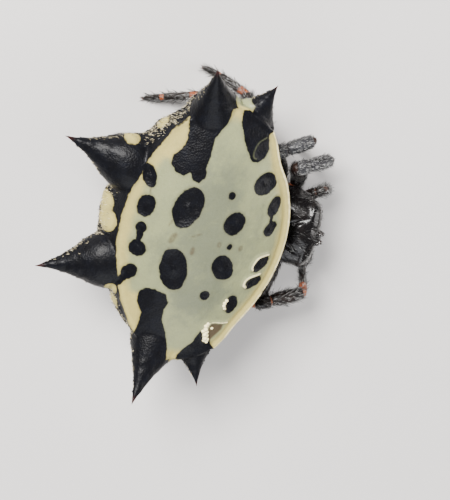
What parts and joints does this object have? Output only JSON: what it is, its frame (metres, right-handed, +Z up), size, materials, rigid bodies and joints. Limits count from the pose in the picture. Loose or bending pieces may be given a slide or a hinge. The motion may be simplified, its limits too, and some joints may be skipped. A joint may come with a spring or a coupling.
{
  "type": "spiny orb weaver spider",
  "caption": "Life-size still model of a black and white spiny orb weaver with a wide spined abdomen plate, standing on its legs.",
  "frame": {"origin": "on the floor under the middle of the whole spider's box", "axes": "+X towards the spider's own left, along the line between the two longest side spines; -Y towards its head; +Z up, out of the abdomen's back"},
  "size_m": [0.0116, 0.0098, 0.0051],
  "materials": {
    "shell": "satin cream cuticle with black spots and black spines",
    "black_cuticle": "shiny black cuticle with short grey hairs",
    "leg_cuticle": "black cuticle with orange-brown joints and pale hairs",
    "spinneret_brown": "dark brown cuticle"
  },
  "bodies": {
    "root": {"abdomen": "shell", "cephalothorax": "black_cuticle", "pedicel": "black_cuticle", "spinnerets": "spinneret_brown", "chelicera_left": "black_cuticle", "chelicera_right": "black_cuticle", "palp_left": "leg_cuticle", "palp_right": "leg_cuticle", "leg_left_1": "leg_cuticle", "leg_left_2": "leg_cuticle", "leg_left_3": "leg_cuticle", "leg_left_4": "leg_cuticle", "leg_right_1": "leg_cuticle", "leg_right_2": "leg_cuticle", "leg_right_3": "leg_cuticle", "leg_right_4": "leg_cuticle"}
  },
  "joints": []
}
